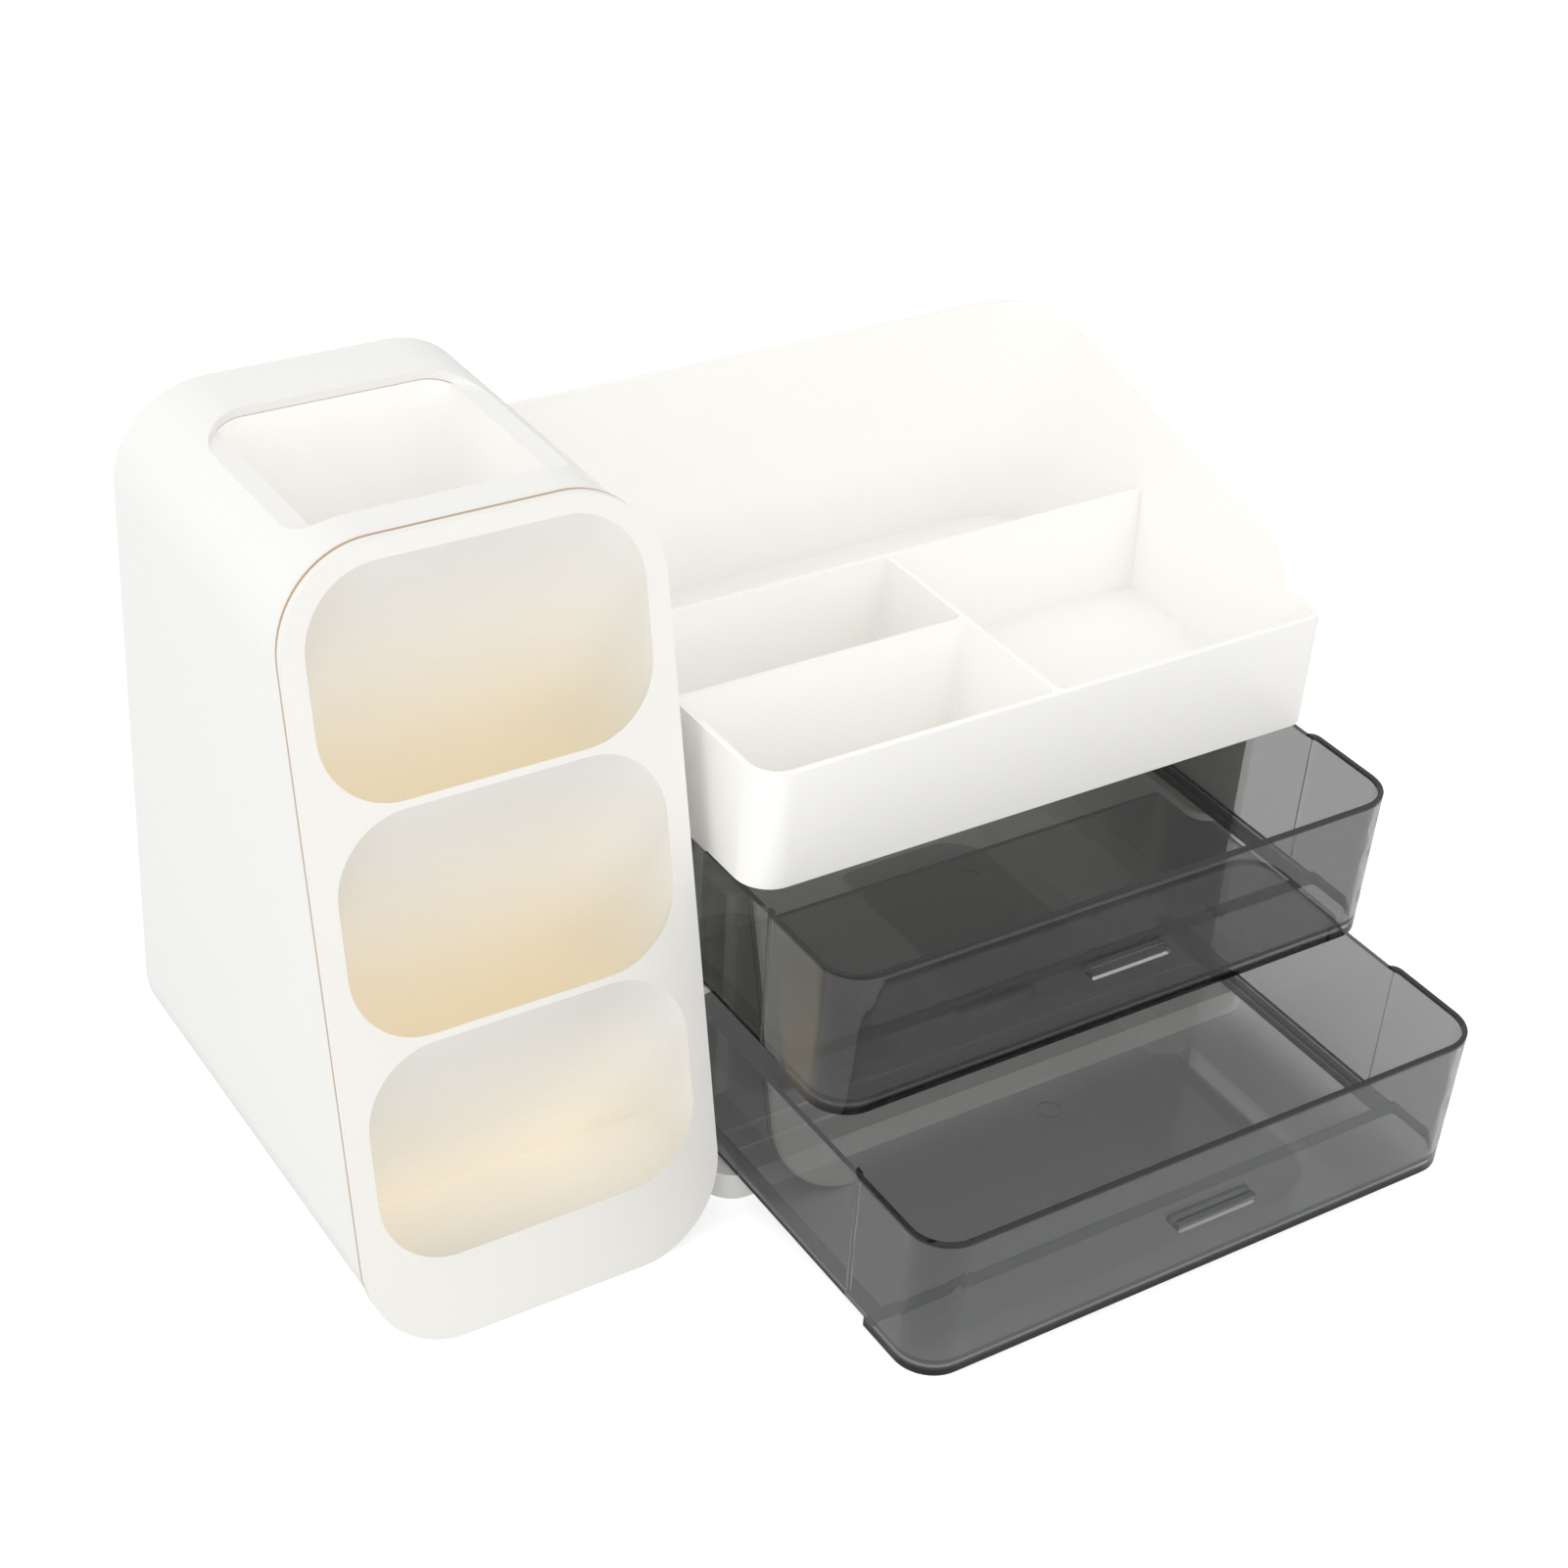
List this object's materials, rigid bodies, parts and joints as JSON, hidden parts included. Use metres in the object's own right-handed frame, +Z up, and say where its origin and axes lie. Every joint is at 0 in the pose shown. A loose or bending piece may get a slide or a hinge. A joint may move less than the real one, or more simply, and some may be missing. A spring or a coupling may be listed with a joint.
{
  "type": "makeup organizer",
  "caption": "Desktop makeup organizer: an upright tower with sloping pockets and a brush cup, hooked to a low cabinet with see-through drawers under a divided tray.",
  "frame": {"origin": "middle of the underside of the cabinet's base plate, on the table", "axes": "+X runs from the tower towards the cabinet's free side, +Y from the drawer fronts to the back, +Z up"},
  "size_m": [0.2903, 0.2236, 0.2006],
  "materials": {
    "ivory_plastic": "soft gloss",
    "smoked_plastic": "clear smoked gloss"
  },
  "bodies": {
    "organizer": {"tower_sleeve": "ivory_plastic", "tower_insert": "ivory_plastic", "brush_cup": "ivory_plastic", "base_plate": "ivory_plastic", "left_side_wall": "ivory_plastic", "right_side_wall": "ivory_plastic", "back_panel": "ivory_plastic", "tray": "ivory_plastic"},
    "upper_drawer": {"upper_drawer": "smoked_plastic"},
    "lower_drawer": {"lower_drawer": "smoked_plastic"}
  },
  "joints": [
    {"name": "upper_drawer_slide", "type": "slide", "parent": "organizer", "child": "upper_drawer", "axis": [0, -1, 0], "range_m": [-0.039, 0.061]},
    {"name": "lower_drawer_slide", "type": "slide", "parent": "organizer", "child": "lower_drawer", "axis": [0, -1, 0], "range_m": [-0.085, 0.015]}
  ]
}
